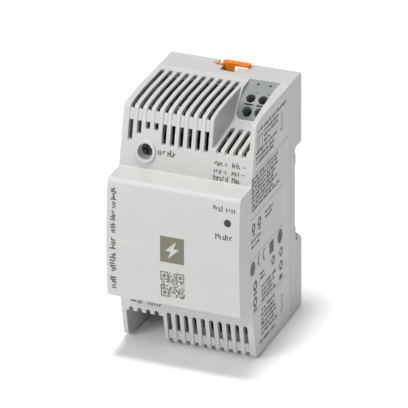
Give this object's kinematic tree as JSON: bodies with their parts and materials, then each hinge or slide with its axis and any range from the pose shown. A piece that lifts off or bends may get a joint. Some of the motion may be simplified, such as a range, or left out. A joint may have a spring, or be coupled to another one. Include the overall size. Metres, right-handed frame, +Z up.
{
  "type": "din rail power supply",
  "caption": "Compact DIN rail power supply in a stepped vented housing, with push-in terminals, voltage adjuster, status light and a spring-loaded rail latch.",
  "frame": {"origin": "bottom centre of the housing: middle of its width and of its depth, on the underside", "axes": "+X to the right seen from the front, +Y from the front panel towards the rail, +Z up along the housing's height"},
  "size_m": [0.054, 0.067, 0.0913],
  "materials": {
    "housing_plastic": "satin, fine texture",
    "latch_plastic": "satin",
    "terminal_plastic": "satin",
    "spring_steel": "bright",
    "tinned_copper": "tinned, semi-bright",
    "pot_body_plastic": "matt",
    "rotor_plastic": "matt",
    "spindle_plastic": "satin",
    "led_body": "gloss",
    "clear_acrylic": "clear, gloss",
    "board_laminate": "solder mask, semi-gloss",
    "ferrite": "matt sintered",
    "bobbin_plastic": "matt",
    "winding_tape": "gloss tape",
    "capacitor_sleeve": "gloss sleeve",
    "enamelled_copper": "enamelled",
    "film_capacitor_case": "gloss",
    "blue_epoxy": "gloss",
    "fuse_ceramic": "ceramic tube with metal caps",
    "nickel_plate": "nickel plated",
    "green_epoxy": "gloss",
    "mould_compound": "matt moulding",
    "sink_aluminium": "black anodised",
    "powder_core": "coated",
    "chip_ceramic": "sintered"
  },
  "bodies": {
    "housing": {"front_cover": "housing_plastic", "rear_base": "housing_plastic", "output_terminal_housing": "terminal_plastic", "output_positive_contact": "tinned_copper", "output_negative_contact": "tinned_copper", "output_clamp_springs": "spring_steel", "input_terminal_housing": "terminal_plastic", "input_live_contact": "tinned_copper", "input_neutral_contact": "tinned_copper", "input_clamp_springs": "spring_steel", "potentiometer_body": "pot_body_plastic", "status_led": "led_body", "light_pipe": "clear_acrylic", "circuit_board": "board_laminate", "transformer_core": "ferrite", "transformer_bobbin": "bobbin_plastic", "transformer_winding": "winding_tape", "bulk_capacitor": "capacitor_sleeve", "output_capacitors": "capacitor_sleeve", "choke_core": "ferrite", "choke_windings": "enamelled_copper", "choke_divider": "bobbin_plastic", "suppression_capacitor": "film_capacitor_case", "safety_capacitors": "blue_epoxy", "fuse": "fuse_ceramic", "fuse_holder": "nickel_plate", "varistor": "blue_epoxy", "inrush_thermistor": "green_epoxy", "bridge_rectifier": "mould_compound", "switching_transistor": "mould_compound", "output_rectifier": "mould_compound", "primary_heat_sink": "sink_aluminium", "secondary_heat_sink": "sink_aluminium", "heat_sink_screws": "nickel_plate", "heat_sink_nuts": "nickel_plate", "optocouplers": "mould_compound", "controller_chip": "mould_compound", "output_inductor_core": "powder_core", "output_inductor_winding": "enamelled_copper", "chip_components": "chip_ceramic"},
    "latch": {"rail_latch": "latch_plastic", "latch_spring": "spring_steel"},
    "adjuster": {"adjuster_spindle": "spindle_plastic", "potentiometer_rotor": "rotor_plastic"}
  },
  "joints": [
    {"name": "latch_slide", "type": "slide", "parent": "housing", "child": "latch", "axis": [0, 0, 1], "range_m": [0, 0.003], "stiffness_N_per_m": 900, "springref_m": -0.003, "deforming": ["latch_spring"]},
    {"name": "voltage_adjuster_turn", "type": "hinge", "parent": "housing", "child": "adjuster", "pos_m": [-0.01665, 0, 0.0736], "axis": [0, -1, 0], "range_deg": [-115, 115]}
  ]
}
